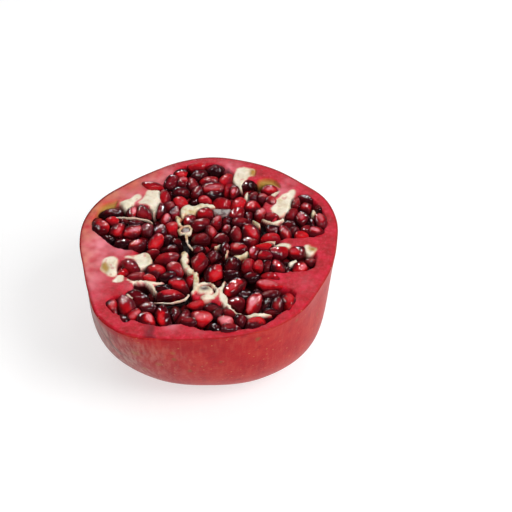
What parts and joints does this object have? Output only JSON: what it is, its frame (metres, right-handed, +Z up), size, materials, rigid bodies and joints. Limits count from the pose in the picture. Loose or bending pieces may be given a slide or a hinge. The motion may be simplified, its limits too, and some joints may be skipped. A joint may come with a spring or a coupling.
{
  "type": "open pomegranate",
  "caption": "Half of a pomegranate cut across its middle, lying on its stem end: red rind, cream walls and juicy dark red arils packed in open locules.",
  "frame": {"origin": "on the surface that the half lies on, under the centre of its bounding box", "axes": "+Z up, with the cut face leaning 5 degrees down towards -Y, the side that the picture's viewer stands on; +X to the viewer's right"},
  "size_m": [0.1026, 0.1042, 0.0539],
  "materials": {
    "rind_and_pith": "satin",
    "arils": "gloss"
  },
  "bodies": {
    "root": {"rind_and_pith": "rind_and_pith", "arils_back": "arils", "arils_back_right": "arils", "arils_right_back": "arils", "arils_right": "arils", "arils_front_right": "arils", "arils_front": "arils", "arils_front_left": "arils", "arils_left": "arils", "arils_back_left": "arils", "arils_centre": "arils"}
  },
  "joints": []
}
